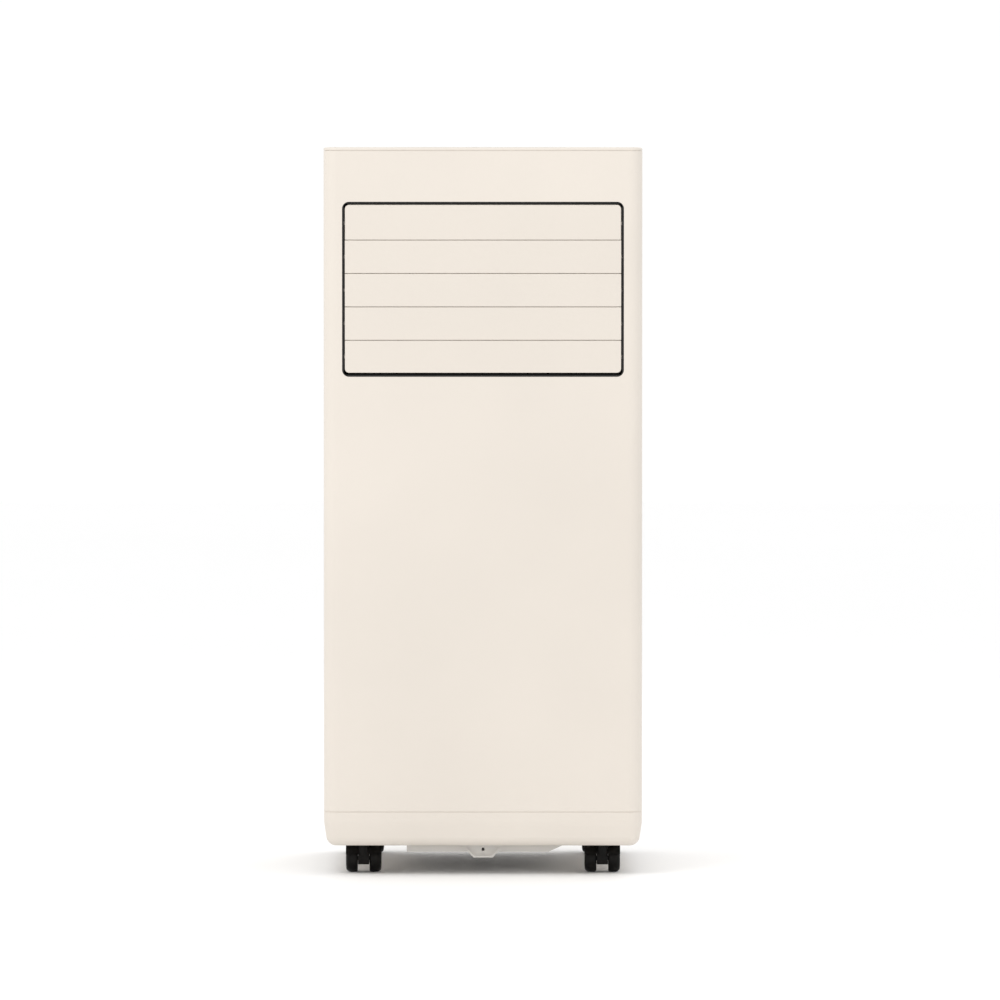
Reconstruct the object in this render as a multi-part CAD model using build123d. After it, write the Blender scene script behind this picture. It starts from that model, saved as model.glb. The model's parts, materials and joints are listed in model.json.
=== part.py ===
"""Portable air conditioner: cabinet, louvers, controls, grilles, casters and the machine inside.

Millimetres, +Z up, front face at -Y. The origin is on the floor under the middle of the cabinet.
"""
from build123d import *
import math
import os

os.makedirs("parts", exist_ok=True)

# ---- driving dimensions ----
WIDTH = 300.0
DEPTH = 328.0
HEIGHT = 686.0
WALL = 2.5
CORNER_R = 12.0
GAP = 0.4
PIN_FIT = 0.05

BASE_Z = 28.0
TRAY_FLOOR_Z = 21.0
TRAY_LEFT = 72.0
TRAY_FOOT = 62.0
TRAY_RIGHT = 77.0
TRAY_HALF_DEPTH = 140.0
SEAM_Z = 60.0
LID_Z = 683.0
SKIRT_CREASE_Z = 50.0
SKIRT_TAPER = 9.0
SKIRT_ROLL = 9.5
SKIRT_BLEND = 40.0
DECK_Z = 398.0
SHELL_SPLIT_Y = 132.0

HALF_W = WIDTH / 2
HALF_D = DEPTH / 2
FRONT_Y = -HALF_D
REAR_Y = HALF_D
INNER_X = HALF_W - WALL
INNER_FRONT_Y = FRONT_Y + WALL
INNER_REAR_Y = REAR_Y - WALL

OUTLET_HALF_W = 132.5
OUTLET_LOW_Z = 470.5
OUTLET_HIGH_Z = 635.0
OUTLET_R = 6.5
DUCT_HALF_W = 130.8
DUCT_LOW_Z = 472.3
DUCT_HIGH_Z = 633.2
DUCT_WALL = 2.6
DUCT_REAR_Y = -92.0

SLAT_COUNT = 5
SLAT_LOW_Z = 474.3
SLAT_HIGH_Z = 632.2
SLAT_PITCH = 31.4
SLAT_LINE_Z = 599.1
SLAT_HALF_W = 129.9
SLAT_CORNER_R = 4.0
SLAT_SPLIT = 0.5
SLAT_T = 2.2
SLAT_FACE_Y = FRONT_Y + 0.6
SLAT_PIVOT_Y = SLAT_FACE_Y + 6.0
CRANK_LENGTH = 12.0
CRANK_X = (-136.6, -134.2)
LINK_X = (-139.2, -137.0)

VANE_COUNT = 5
VANE_PITCH = 43.0
VANE_PIVOT_Y = -118.0
VANE_HALF_W = 14.0
VANE_PIN_Y = VANE_PIVOT_Y + 18.0
LINK_Z = 550.0

CASTER_X = 113.0
CASTER_Y = 121.0
WHEEL_R = 13.0
WHEEL_W = 11.3
WHEEL_GAP = 5.5
TRAIL = 9.0
STEM_R = 4.0

GRILLE_HALF_W = 110.0
UPPER_GRILLE = (440.0, 650.0)
LOWER_GRILLE = (98.0, 238.0)
EXHAUST_Z = 324.0
EXHAUST_R = 71.0
EXHAUST_BORE_R = 64.0
DRAIN_PLACES = {"upper": (95.0, 418.0), "lower": (0.0, 80.0)}
GRIP_R = 9.0
GLAND_X = -122.0
GLAND_Z = 272.0

BLOWER_Z = 520.0
BLOWER_R = 94.0
FAN_Z = 300.0
FAN_R = 78.0
COMPRESSOR_X = 45.0
COMPRESSOR_Y = -78.0
COMPRESSOR_R = 54.0
COMPRESSOR_TOP_Z = 200.0
ACCUMULATOR_X = -38.0
PIPE_LANE_X = 126.0
PIPE_LANE_Y = 118.0
BUTTON_NAMES = ("power", "mode", "cooler", "warmer", "fan_speed")
BUTTON_R = 6.2
BUTTON_PITCH = 18.0
PANEL_Y = -104.0
PANEL_HALF_W = 78.0
SCREW_PLACES = [(x, z) for x in (-128.0, 128.0) for z in (72.0, 400.0, 668.0)]


# ---- small helpers ----
def block(x_range, y_range, z_range):
    """Box between two corners, given as ranges."""
    size = [high - low for low, high in (x_range, y_range, z_range)]
    middle = [(low + high) / 2 for low, high in (x_range, y_range, z_range)]
    return Pos(*middle) * Box(*size)


def rod_x(y, z, radius, x_range):
    low, high = x_range
    return Pos((low + high) / 2, y, z) * Rot(0, 90, 0) * Cylinder(radius, high - low)


def rod_y(x, z, radius, y_range):
    low, high = y_range
    return Pos(x, (low + high) / 2, z) * Rot(90, 0, 0) * Cylinder(radius, high - low)


def rod_z(x, y, radius, z_range):
    low, high = z_range
    return Pos(x, y, (low + high) / 2) * Cylinder(radius, high - low)


def plan_prism(width, depth, radius, z_range):
    """Upright prism with rounded vertical corners."""
    low, high = z_range
    return Pos(0, 0, low) * extrude(RectangleRounded(width, depth, radius), high - low)


def face_prism(half_w, z_range, radius, y_range):
    """Prism along Y with a rounded rectangle section, centred on X = 0."""
    low, high = z_range
    section = RectangleRounded(2 * half_w, high - low, radius)
    prism = extrude(section, y_range[1] - y_range[0])
    return Pos(0, y_range[1], (low + high) / 2) * Rot(90, 0, 0) * prism


def tube(points, radius, bend):
    """Pipe along straight runs joined by tangent arcs."""
    path = FilletPolyline(*points, radius=bend)
    section = Plane(origin=path @ 0, z_dir=path % 0) * Circle(radius)
    return sweep(section, path=path)


def save(shape, name):
    export_step(shape, f"parts/{name}.step")


# ---- cabinet shells ----
def shell_ring():
    outer = plan_prism(WIDTH, DEPTH, CORNER_R, (SEAM_Z + 0.8, LID_Z))
    inner = plan_prism(WIDTH - 2 * WALL, DEPTH - 2 * WALL, CORNER_R - WALL, (SEAM_Z, LID_Z + 1))
    return outer - inner


def base_pan():
    """Floor pan whose skirt rolls under, with sockets for the caster stems."""
    def rolled(inset):
        plan = RectangleRounded(WIDTH - 2 * inset, DEPTH - 2 * inset, CORNER_R - inset)
        crease = Pos(0, 0, SKIRT_CREASE_Z)
        body = crease * extrude(plan, SEAM_Z + inset - SKIRT_CREASE_Z)
        body += crease * extrude(plan, BASE_Z + inset - SKIRT_CREASE_Z, taper=SKIRT_TAPER)
        body = fillet(body.faces().sort_by(Axis.Z)[0].edges(), SKIRT_ROLL - inset)
        creases = [edge for edge in body.edges()
                   if abs(edge.center().Z - SKIRT_CREASE_Z) < 0.01 and edge.bounding_box().size.Z < 0.01]
        return fillet(creases, SKIRT_BLEND)

    pan = rolled(0) - rolled(WALL)
    for x in (-CASTER_X, CASTER_X):
        for y in (-CASTER_Y, CASTER_Y):
            pan += rod_z(x, y, 8.5, (BASE_Z, BASE_Z + 24))
    for x in (-CASTER_X, CASTER_X):
        for y in (-CASTER_Y, CASTER_Y):
            pan -= rod_z(x, y, STEM_R + PIN_FIT, (BASE_Z - 1, BASE_Z + 20))
    return pan



def sump_tray():
    """Shallow condensate tray under the base, with a trapezoid tab that takes one screw."""
    outline = Polyline((-TRAY_LEFT, TRAY_FLOOR_Z), (TRAY_FOOT, TRAY_FLOOR_Z), (TRAY_RIGHT, BASE_Z),
                       (-TRAY_LEFT, BASE_Z), close=True)
    tray = Pos(0, TRAY_HALF_DEPTH, 0) * extrude(Plane.XZ * make_face(outline), 2 * TRAY_HALF_DEPTH - 1)
    cavity = block((3 - TRAY_LEFT, TRAY_FOOT - 2), (4 - TRAY_HALF_DEPTH, TRAY_HALF_DEPTH - 3),
                   (TRAY_FLOOR_Z + WALL, BASE_Z + 1))
    tab_outline = Polyline((-20, 27.4), (20, 27.4), (9, 16), (-9, 16), close=True)
    tab = Pos(0, -139, 0) * extrude(Plane.XZ * make_face(tab_outline), 5)
    inner_outline = Polyline((-16.2, 26.2), (16.2, 26.2), (8.0, 17.8), (-8.0, 17.8), close=True)
    dish = Pos(0, -142, 0) * extrude(Plane.XZ * make_face(inner_outline), 3)
    screw_hole = rod_y(0, 23.6, 1.5, (-146, -134))
    return tray - cavity + tab - dish - screw_hole


def front_panel():
    """Front face with both front corners, cut by the air outlet."""
    panel = shell_ring() & block((-HALF_W, HALF_W), (FRONT_Y - 1, -SHELL_SPLIT_Y), (0, HEIGHT))
    opening = face_prism(OUTLET_HALF_W, (OUTLET_LOW_Z, OUTLET_HIGH_Z), OUTLET_R,
                         (FRONT_Y - 1, INNER_FRONT_Y + 1))
    return panel - opening


def side_panel(side):
    """Flat side with a recessed finger grip; side is -1 for left, +1 for right."""
    y_range = (-SHELL_SPLIT_Y + GAP, SHELL_SPLIT_Y - GAP)
    x_range = sorted((side * 100, side * (HALF_W + 1)))
    panel = shell_ring() & block(x_range, y_range, (0, HEIGHT))
    hole_x = sorted((side * (INNER_X - 1), side * (HALF_W + 1)))
    cup_x = sorted((side * (INNER_X - 19), side * INNER_X))
    hollow_x = sorted((side * (INNER_X - 17), side * (HALF_W + 1)))
    mouth = fillet(block(hole_x, (-52, 52), (596, 626)).edges().filter_by(Axis.X), GRIP_R)
    cup = block(cup_x, (-54.5, 54.5), (593.5, 639))
    hollow = fillet(block(hollow_x, (-52, 52), (596, 626)).edges().filter_by(Axis.X), GRIP_R)
    finger_roof = block(sorted((side * (INNER_X - 17), side * (INNER_X - 1))), (-52, 52), (620, 636.5))
    return panel - mouth + cup - hollow - finger_roof


def back_panel():
    """Back with both rear corners, openings for the two grilles, collar, drains and cord gland."""
    panel = shell_ring() & block((-HALF_W, HALF_W), (SHELL_SPLIT_Y, REAR_Y + 1), (0, HEIGHT))
    for low, high in (UPPER_GRILLE, LOWER_GRILLE):
        ledge = face_prism(GRILLE_HALF_W + 4, (low - 4, high + 4), 6, (INNER_REAR_Y - 3, INNER_REAR_Y))
        opening = face_prism(GRILLE_HALF_W + GAP, (low - GAP, high + GAP), 5,
                             (INNER_REAR_Y, REAR_Y + 1))
        inside = face_prism(GRILLE_HALF_W - 3, (low + 3, high - 3), 4,
                            (INNER_REAR_Y - 4, INNER_REAR_Y + 1))
        panel = panel + ledge - opening - inside
    panel -= rod_y(0, EXHAUST_Z, EXHAUST_R, (INNER_REAR_Y - 1, REAR_Y + 1))
    for x, z in DRAIN_PLACES.values():
        panel += rod_y(x, z, 11, (145, INNER_REAR_Y))
        panel -= rod_y(x, z, 10.4, (INNER_REAR_Y, REAR_Y + 1))
        panel -= rod_y(x, z, 7.5, (144, INNER_REAR_Y + 1))
    panel -= rod_y(GLAND_X, GLAND_Z, 10, (INNER_REAR_Y - 1, REAR_Y + 1))
    for x, z in SCREW_PLACES:
        panel += rod_y(x, z, 5, (150, INNER_REAR_Y))
        panel -= rod_y(x, z, 4.2, (INNER_REAR_Y - 1, REAR_Y + 1))
        panel -= rod_y(x, z, 1.6, (149, REAR_Y + 1))
    return panel


def screws():
    """Pan-head screws that hold the back panel."""
    group = None
    for x, z in SCREW_PLACES:
        screw = rod_y(x, z, 3.8, (INNER_REAR_Y - 1, REAR_Y - 1)) + rod_y(x, z, 1.6, (147, INNER_REAR_Y))
        screw -= block((x - 2.4, x + 2.4), (REAR_Y - 2, REAR_Y), (z - 0.5, z + 0.5))
        screw -= block((x - 0.5, x + 0.5), (REAR_Y - 2, REAR_Y), (z - 2.4, z + 2.4))
        group = screw if group is None else group + screw
    return group


def top_cover():
    """Lid with a locating rim and a shallow bed for the control panel."""
    lid = plan_prism(WIDTH, DEPTH, CORNER_R, (LID_Z + 0.5, HEIGHT))
    lid = fillet(lid.faces().sort_by(Axis.Z)[-1].edges(), 1.6)
    rim_w = WIDTH - 2 * WALL - 2 * GAP
    rim_d = DEPTH - 2 * WALL - 2 * GAP
    rim = plan_prism(rim_w, rim_d, CORNER_R - WALL - GAP, (LID_Z - 8, LID_Z + 1))
    rim -= plan_prism(rim_w - 4, rim_d - 4, CORNER_R - WALL - GAP - 2, (LID_Z - 9, LID_Z + 0.5))
    bed = block((-PANEL_HALF_W, PANEL_HALF_W), (PANEL_Y - 24, PANEL_Y + 24), (HEIGHT - 1.2, HEIGHT + 1))
    well = block((-PANEL_HALF_W + 4, PANEL_HALF_W - 4), (PANEL_Y - 20, PANEL_Y + 20),
                 (LID_Z, HEIGHT + 1))
    return lid + rim - bed - well


# ---- controls on the lid ----
def button_x(index):
    return -10.0 + index * BUTTON_PITCH


def control_panel():
    """Overlay plate in the lid's bed, with a display window and five button holes."""
    plate = block((-PANEL_HALF_W + 0.3, PANEL_HALF_W - 0.3), (PANEL_Y - 23.7, PANEL_Y + 23.7),
                  (HEIGHT - 1.2, HEIGHT - 0.1))
    plate = fillet(plate.edges().filter_by(Axis.Z), 3)
    plate -= block((-66.2, -25.8), (PANEL_Y - 10.2, PANEL_Y + 10.2), (LID_Z, HEIGHT + 1))
    for index in range(len(BUTTON_NAMES)):
        plate -= rod_z(button_x(index), PANEL_Y, BUTTON_R + PIN_FIT, (LID_Z, HEIGHT + 1))
    return plate


def display_window():
    lens = block((-66, -26), (PANEL_Y - 10, PANEL_Y + 10), (HEIGHT - 1.2, HEIGHT - 0.2))
    flange = block((-67.5, -24.5), (PANEL_Y - 12, PANEL_Y + 12), (HEIGHT - 2.2, HEIGHT - 1.2))
    return lens + flange


def button(index):
    x = button_x(index)
    cap = fillet(rod_z(x, PANEL_Y, BUTTON_R, (HEIGHT - 3.6, HEIGHT)).faces().sort_by(Axis.Z)[-1].edges(),
                 0.6)
    flange = rod_z(x, PANEL_Y, BUTTON_R + 1.2, (HEIGHT - 3.6, HEIGHT - 2.6))
    return cap + flange


def control_board():
    """Circuit board under the buttons, with one tactile switch below each."""
    board = block((-70, 70), (PANEL_Y - 18, PANEL_Y + 18), (HEIGHT - 10, HEIGHT - 8.4))
    for index in range(len(BUTTON_NAMES)):
        x = button_x(index)
        board += block((x - 3, x + 3), (PANEL_Y - 3, PANEL_Y + 3), (HEIGHT - 8.4, HEIGHT - 4.9))
    board += block((-64, -28), (PANEL_Y - 8, PANEL_Y + 8), (HEIGHT - 8.4, HEIGHT - 3))
    return board


# ---- air outlet: frame, slats, vanes and their link bars ----
def slat_line(index):
    """Height of the split under slat number index, counted from the top."""
    return SLAT_LINE_Z - index * SLAT_PITCH


def slat_z(index):
    """Height of a slat's pivot."""
    return slat_line(index) + SLAT_PITCH / 2


def vane_x(index):
    return (index - (VANE_COUNT - 1) / 2) * VANE_PITCH


def louver_frame():
    """Black duct behind the outlet, with bearings for slats and vanes."""
    half_w = DUCT_HALF_W + DUCT_WALL
    low, high = DUCT_LOW_Z - DUCT_WALL, DUCT_HIGH_Z + DUCT_WALL
    outer = face_prism(half_w, (low, high), 5, (INNER_FRONT_Y, DUCT_REAR_Y))
    flange = face_prism(half_w + 4, (low - 6, high + 6), 6, (INNER_FRONT_Y, INNER_FRONT_Y + 2))
    inner = face_prism(DUCT_HALF_W, (DUCT_LOW_Z, DUCT_HIGH_Z), 2.5,
                       (INNER_FRONT_Y - 1, DUCT_REAR_Y + 1))
    link_side = block((-half_w - 6, -half_w), (INNER_FRONT_Y - 1, INNER_FRONT_Y + 3), (low + 3, high - 3))
    frame = outer + flange - inner - link_side
    for index in range(SLAT_COUNT):
        frame -= rod_x(SLAT_PIVOT_Y, slat_z(index), 2 + PIN_FIT, (-half_w - 6, half_w + 6))
    for index in range(VANE_COUNT):
        frame -= rod_z(vane_x(index), VANE_PIVOT_Y, 2 + PIN_FIT, (low - 1, high + 1))
    return frame


def slat(index):
    """One louver slat: face plate, overlapping lip, end bosses, pivot pins and a crank."""
    z = slat_z(index)
    face = SLAT_FACE_Y
    top = SLAT_HIGH_Z if index == 0 else slat_line(index - 1) - SLAT_SPLIT / 2
    bottom = SLAT_LOW_Z if index == SLAT_COUNT - 1 else slat_line(index) + SLAT_SPLIT / 2
    body = block((-SLAT_HALF_W, SLAT_HALF_W), (face, face + SLAT_T), (bottom, top))
    if index == 0:
        body = fillet(body.edges().filter_by(Axis.Y).sort_by(Axis.Z)[-2:], SLAT_CORNER_R)
    if index == SLAT_COUNT - 1:
        body = fillet(body.edges().filter_by(Axis.Y).sort_by(Axis.Z)[:2], SLAT_CORNER_R)
    front_edges = body.faces().sort_by(Axis.Y)[0].edges().filter_by(Axis.X).sort_by(Axis.Z)
    body = fillet(front_edges[-1], 1.1)
    front_edges = body.faces().sort_by(Axis.Y)[0].edges().filter_by(Axis.X).sort_by(Axis.Z)
    body = fillet(front_edges[0], 0.4)
    if index < SLAT_COUNT - 1:
        lip_x = (-SLAT_HALF_W + 2, SLAT_HALF_W - 2)
        body += block(lip_x, (face + SLAT_T - 0.5, face + 4.4), (bottom, bottom + 3))
        body += block(lip_x, (face + SLAT_T + GAP, face + 4.4), (bottom - 4, bottom + 1))
    for side in (-1, 1):
        boss_x = sorted((side * (SLAT_HALF_W - 4), side * (SLAT_HALF_W - 0.8)))
        body += block(boss_x, (face + 1, SLAT_PIVOT_Y), (z - 4, z + 4))
        body += rod_x(SLAT_PIVOT_Y, z, 4, boss_x)
    body += rod_x(SLAT_PIVOT_Y, z, 2, (SLAT_HALF_W - 4, DUCT_HALF_W + DUCT_WALL))
    body += rod_x(SLAT_PIVOT_Y, z, 2, (CRANK_X[0], -SLAT_HALF_W + 4))
    crank_y = SLAT_PIVOT_Y + CRANK_LENGTH
    body += block(CRANK_X, (SLAT_PIVOT_Y, crank_y), (z - 2.6, z + 2.6))
    body += rod_x(SLAT_PIVOT_Y, z, 2.6, CRANK_X) + rod_x(crank_y, z, 2.6, CRANK_X)
    body += rod_x(crank_y, z, 1.5, (LINK_X[0] - 0.4, CRANK_X[1]))
    return body


def louver_link():
    """Bar that joins the five cranks."""
    y = SLAT_PIVOT_Y + CRANK_LENGTH
    low, high = slat_z(SLAT_COUNT - 1), slat_z(0)
    bar = block(LINK_X, (y - 3, y + 3), (low, high))
    bar += rod_x(y, low, 3, LINK_X) + rod_x(y, high, 3, LINK_X)
    for index in range(SLAT_COUNT):
        bar -= rod_x(y, slat_z(index), 1.5 + PIN_FIT, (LINK_X[0] - 1, LINK_X[1] + 1))
    return bar


def vane(index):
    """Upright vane with a pin at each end and an arm for the link bar."""
    x = vane_x(index)
    y = VANE_PIVOT_Y
    body = block((x - 0.9, x + 0.9), (y - VANE_HALF_W, y + VANE_HALF_W), (474.0, 631.8))
    body -= block((x - 3, x + 3), (y + 6, y + VANE_HALF_W + 1), (LINK_Z - 7, LINK_Z + 6))
    body += rod_z(x, y, 2, (DUCT_LOW_Z - 2, DUCT_HIGH_Z + 2))
    body += block((x - 2.5, x + 2.5), (y, VANE_PIN_Y), (LINK_Z - 5, LINK_Z - 0.6))
    body += rod_z(x, VANE_PIN_Y, 2.5, (LINK_Z - 5, LINK_Z - 0.6))
    body += rod_z(x, VANE_PIN_Y, 1.5, (LINK_Z - 1, LINK_Z + 3.5))
    return body


def vane_link():
    last = vane_x(VANE_COUNT - 1)
    z_range = (LINK_Z - 0.2, LINK_Z + 2.2)
    bar = block((-last, last), (VANE_PIN_Y - 3, VANE_PIN_Y + 3), z_range)
    bar += rod_z(-last, VANE_PIN_Y, 3, z_range) + rod_z(last, VANE_PIN_Y, 3, z_range)
    for index in range(VANE_COUNT):
        bar -= rod_z(vane_x(index), VANE_PIN_Y, 1.5 + PIN_FIT, (LINK_Z - 2, LINK_Z + 4))
    return bar


# ---- rear fittings ----
def grille(z_range):
    """Flush intake grille with three columns of horizontal slots."""
    low, high = z_range
    plate = face_prism(GRILLE_HALF_W, z_range, 5, (INNER_REAR_Y + 0.1, REAR_Y))
    column_w = 2 * (GRILLE_HALF_W - 12) / 3
    slot_rows = int((high - low - 24) // 8)
    first = (low + high) / 2 - (slot_rows - 1) * 4
    for column in (-1, 0, 1):
        middle = column * column_w
        for row in range(slot_rows):
            z = first + row * 8
            plate -= block((middle - column_w / 2 + 3, middle + column_w / 2 - 3),
                           (INNER_REAR_Y - 1, REAR_Y + 1), (z - 2.2, z + 2.2))
    return plate


def dust_filter(z_range):
    """Framed filter screen behind a grille."""
    low, high = z_range
    outline = face_prism(GRILLE_HALF_W - 4, (low + 4, high - 4), 4, (INNER_REAR_Y - 2.6, INNER_REAR_Y))
    for column in (-1, 1):
        edges = sorted((column * 4, column * (GRILLE_HALF_W - 12)))
        outline -= block(edges, (INNER_REAR_Y - 3, INNER_REAR_Y - 1.6), (low + 12, high - 12))
    return outline


def exhaust_collar():
    """Round hose socket with a guard of bars at its inner end."""
    inner_y = 138.0
    body = rod_y(0, EXHAUST_Z, EXHAUST_R, (inner_y, REAR_Y - 0.4))
    body += rod_y(0, EXHAUST_Z, EXHAUST_R + 4, (INNER_REAR_Y - 3, INNER_REAR_Y))
    body -= rod_y(0, EXHAUST_Z, EXHAUST_BORE_R, (inner_y - 1, REAR_Y + 1))
    body -= rod_y(0, EXHAUST_Z, EXHAUST_BORE_R + 1.5, (inner_y - 1, inner_y + 4))
    for row in range(-4, 5):
        half = math.sqrt((EXHAUST_BORE_R + 2) ** 2 - (row * 13) ** 2)
        z = EXHAUST_Z + row * 13
        body += block((-half, half), (inner_y, inner_y + 2.5), (z - 1.2, z + 1.2))
    reach = EXHAUST_BORE_R + 2
    body += block((-1.5, 1.5), (inner_y, inner_y + 2.5), (EXHAUST_Z - reach, EXHAUST_Z + reach))
    return body


def drain_plug(x, z):
    """Rubber plug: thin head in the panel's recess, stem in the spout."""
    plug = rod_y(x, z, 9.8, (INNER_REAR_Y + 0.2, REAR_Y - 0.2))
    plug += rod_y(x, z, 7.5 - PIN_FIT, (147, INNER_REAR_Y + 1))
    plug -= block((x - 5, x + 5), (REAR_Y - 1.2, REAR_Y), (z - 5, z - 1.6))
    plug -= block((x - 5, x + 5), (REAR_Y - 1.2, REAR_Y), (z + 1.6, z + 5))
    return plug


def cord_gland():
    """Stepped gland in the back panel that the mains lead would leave through."""
    body = rod_y(GLAND_X, GLAND_Z, 9.95, (148, REAR_Y - 0.4))
    body += rod_y(GLAND_X, GLAND_Z, 13, (INNER_REAR_Y - 3, INNER_REAR_Y))
    return body - rod_y(GLAND_X, GLAND_Z, 4, (147, REAR_Y + 1))


# ---- casters ----
def caster_hood(x, y):
    """Swivel hood of a twin-wheel caster: web between the wheels, roof over them, stem on top."""
    axle_y = y + TRAIL
    hood_r = WHEEL_R + 1.3
    half = WHEEL_GAP + WHEEL_W
    web = rod_x(axle_y, WHEEL_R, hood_r, (x - WHEEL_GAP + 0.3, x + WHEEL_GAP - 0.3))
    web &= block((x - half, x + half), (y - 30, y + 40), (8, BASE_Z))
    roof = rod_x(axle_y, WHEEL_R, hood_r, (x - half, x + half))
    roof -= rod_x(axle_y, WHEEL_R, WHEEL_R + 0.4, (x - half - 1, x + half + 1))
    roof &= block((x - half, x + half), (y - 30, y + 40), (18, BASE_Z))
    hood = web + roof + rod_z(x, y, WHEEL_GAP - 0.3, (10, WHEEL_R + hood_r))
    hood += rod_z(x, y, STEM_R, (20, BASE_Z + 19.5))
    return hood - rod_x(axle_y, WHEEL_R, 2 + PIN_FIT, (x - 20, x + 20))


def caster_wheels(x, y):
    """Two wheels pressed on one axle."""
    axle_y = y + TRAIL
    pair = rod_x(axle_y, WHEEL_R, 2, (x - WHEEL_GAP - 1, x + WHEEL_GAP + 1))
    for side in (-1, 1):
        inner, outer = side * WHEEL_GAP, side * (WHEEL_GAP + WHEEL_W)
        x_range = sorted((x + inner, x + outer))
        wheel = rod_x(axle_y, WHEEL_R, WHEEL_R, x_range)
        faces = wheel.faces().sort_by(Axis.X)
        outer_edges = (faces[-1] if side > 0 else faces[0]).edges()
        wheel = fillet(outer_edges, 3)
        wheel = chamfer(wheel.edges().filter_by(GeomType.CIRCLE).sort_by(Axis.X)[0 if side > 0 else -1],
                        0.6)
        dish = sorted((x + outer - side * 1.2, x + outer + side))
        pair += wheel - rod_x(axle_y, WHEEL_R, 6.5, dish)
    return pair


# ---- machine inside ----
def partition_deck():
    """Middle deck with the drain pan under the evaporator."""
    deck = Pos(0, -4, 0) * plan_prism(292, 302, 8, (DECK_Z, DECK_Z + 3))
    pan = block((-118, 118), (98, 140), (DECK_Z + 3, DECK_Z + 11))
    deck += pan - block((-116, 116), (100, 138), (DECK_Z + 3, DECK_Z + 12))
    return deck - rod_z(-PIPE_LANE_X, PIPE_LANE_Y, 5.5, (DECK_Z - 1, DECK_Z + 4))


def coil(z_range, y_range):
    """Fin block between two end plates."""
    body = block((-112, 112), y_range, z_range)
    for side in (-1, 1):
        plate_x = sorted((side * 112, side * 114))
        body += block(plate_x, (y_range[0] - 2, y_range[1] + 2), z_range)
    return body


def scroll_outline(half_w, top_z, y_range):
    drum = rod_y(0, BLOWER_Z, half_w, y_range)
    return drum + block((-half_w, half_w), y_range, (BLOWER_Z, top_z))


def blower_scroll():
    """Scroll round the evaporator blower, with a throat forward to the outlet duct."""
    body = scroll_outline(112, 636, (-4, 84)) + block((-124, 124), (DUCT_REAR_Y + 1, -3), (474, 636))
    body -= scroll_outline(109, 633, (-1, 81))
    body -= block((-121.5, 121.5), (DUCT_REAR_Y, -4), (476.5, 633.5))
    body -= block((-105, 105), (-5, 0), (568, 631))
    body -= rod_y(0, BLOWER_Z, 7, (-6, 0))
    return body - rod_y(0, BLOWER_Z, 76, (80, 85))


def bladed_wheel(z, radius, bore_r, y_range, blade_count):
    """Forward-curved wheel without its hub: back plate, blades and rim."""
    low, high = y_range
    ring = rod_y(0, z, radius, (high - 3, high)) - rod_y(0, z, bore_r, (high - 4, high + 1))
    wheel = rod_y(0, z, radius, (low, low + 3)) + ring
    length = radius - bore_r - 1.5
    for index in range(blade_count):
        angle = index * 360 / blade_count
        blade = Pos(bore_r + 1 + length / 2, (low + high) / 2, 0) * Rot(0, 25, 0)
        blade = blade * Box(length, high - low - 2, 1.4)
        wheel += Pos(0, 0, z) * Rot(0, angle, 0) * blade
    return wheel


def evaporator_blower():
    wheel = bladed_wheel(BLOWER_Z, BLOWER_R, 76, (6, 72), 32)
    return wheel + rod_y(0, BLOWER_Z, 13, (2, 9)) + rod_y(0, BLOWER_Z, 4, (-34, 9))


def condenser_fan():
    wheel = Rot(0, 0, 180) * bladed_wheel(FAN_Z, FAN_R, 60, (-30, 26), 28)
    return wheel + rod_y(0, FAN_Z, 12, (20, 28)) + rod_y(0, FAN_Z, 4, (-74, 28))


def blower_motor():
    body = rod_y(0, BLOWER_Z, 41, (-58, -12))
    body = fillet(body.edges(), 4)
    body += rod_y(0, BLOWER_Z, 16, (-62, -4))
    return body - rod_y(0, BLOWER_Z, 4 + PIN_FIT, (-36, -3))


def condenser_scroll():
    """Drum round the condenser fan, with a round duct back to the exhaust collar."""
    duct_r = EXHAUST_BORE_R + 4
    body = rod_y(0, FAN_Z, 95, (-44, 40)) + rod_y(0, EXHAUST_Z, duct_r, (30, 138))
    body -= rod_y(0, FAN_Z, 92, (-41, 37))
    body -= rod_y(0, EXHAUST_Z, EXHAUST_BORE_R + 1.5, (36, 139))
    return body - rod_y(0, FAN_Z, 56, (-45, -40))


def condenser_motor():
    body = rod_y(0, FAN_Z, 36, (-104, -54))
    body = fillet(body.edges(), 4)
    body += rod_y(0, FAN_Z, 14, (-106, -47))
    body += block((-84, 84), (-47, -44), (FAN_Z - 9, FAN_Z + 9))
    return body - rod_y(0, FAN_Z, 4 + PIN_FIT, (-76, -43))


def compressor():
    """Welded can on a round foot plate."""
    can = rod_z(COMPRESSOR_X, COMPRESSOR_Y, COMPRESSOR_R, (46, COMPRESSOR_TOP_Z))
    can = fillet(can.faces().sort_by(Axis.Z)[-1].edges(), 22)
    foot = rod_z(COMPRESSOR_X, COMPRESSOR_Y, COMPRESSOR_R + 8, (44, 47))
    return can + foot


def compressor_feet():
    """Three rubber feet under the foot plate."""
    group = None
    for angle in (90, 210, 330):
        x = COMPRESSOR_X + 52 * math.cos(math.radians(angle))
        y = COMPRESSOR_Y + 52 * math.sin(math.radians(angle))
        foot = rod_z(x, y, 9, (BASE_Z + WALL, 44)) - rod_z(x, y, 11, (36, 38))
        foot += rod_z(x, y, 6.5, (35, 39))
        group = foot if group is None else group + foot
    return group


def accumulator():
    """Suction accumulator with its tube into the compressor."""
    x, y = ACCUMULATOR_X, COMPRESSOR_Y - 2
    body = fillet(rod_z(x, y, 22, (74, 190)).edges().filter_by(GeomType.CIRCLE), 8)
    end_x = COMPRESSOR_X - COMPRESSOR_R - 0.2
    return body + tube([(x, y, 75), (x, y, 58), (end_x, y, 58)], 4, 9)


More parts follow.
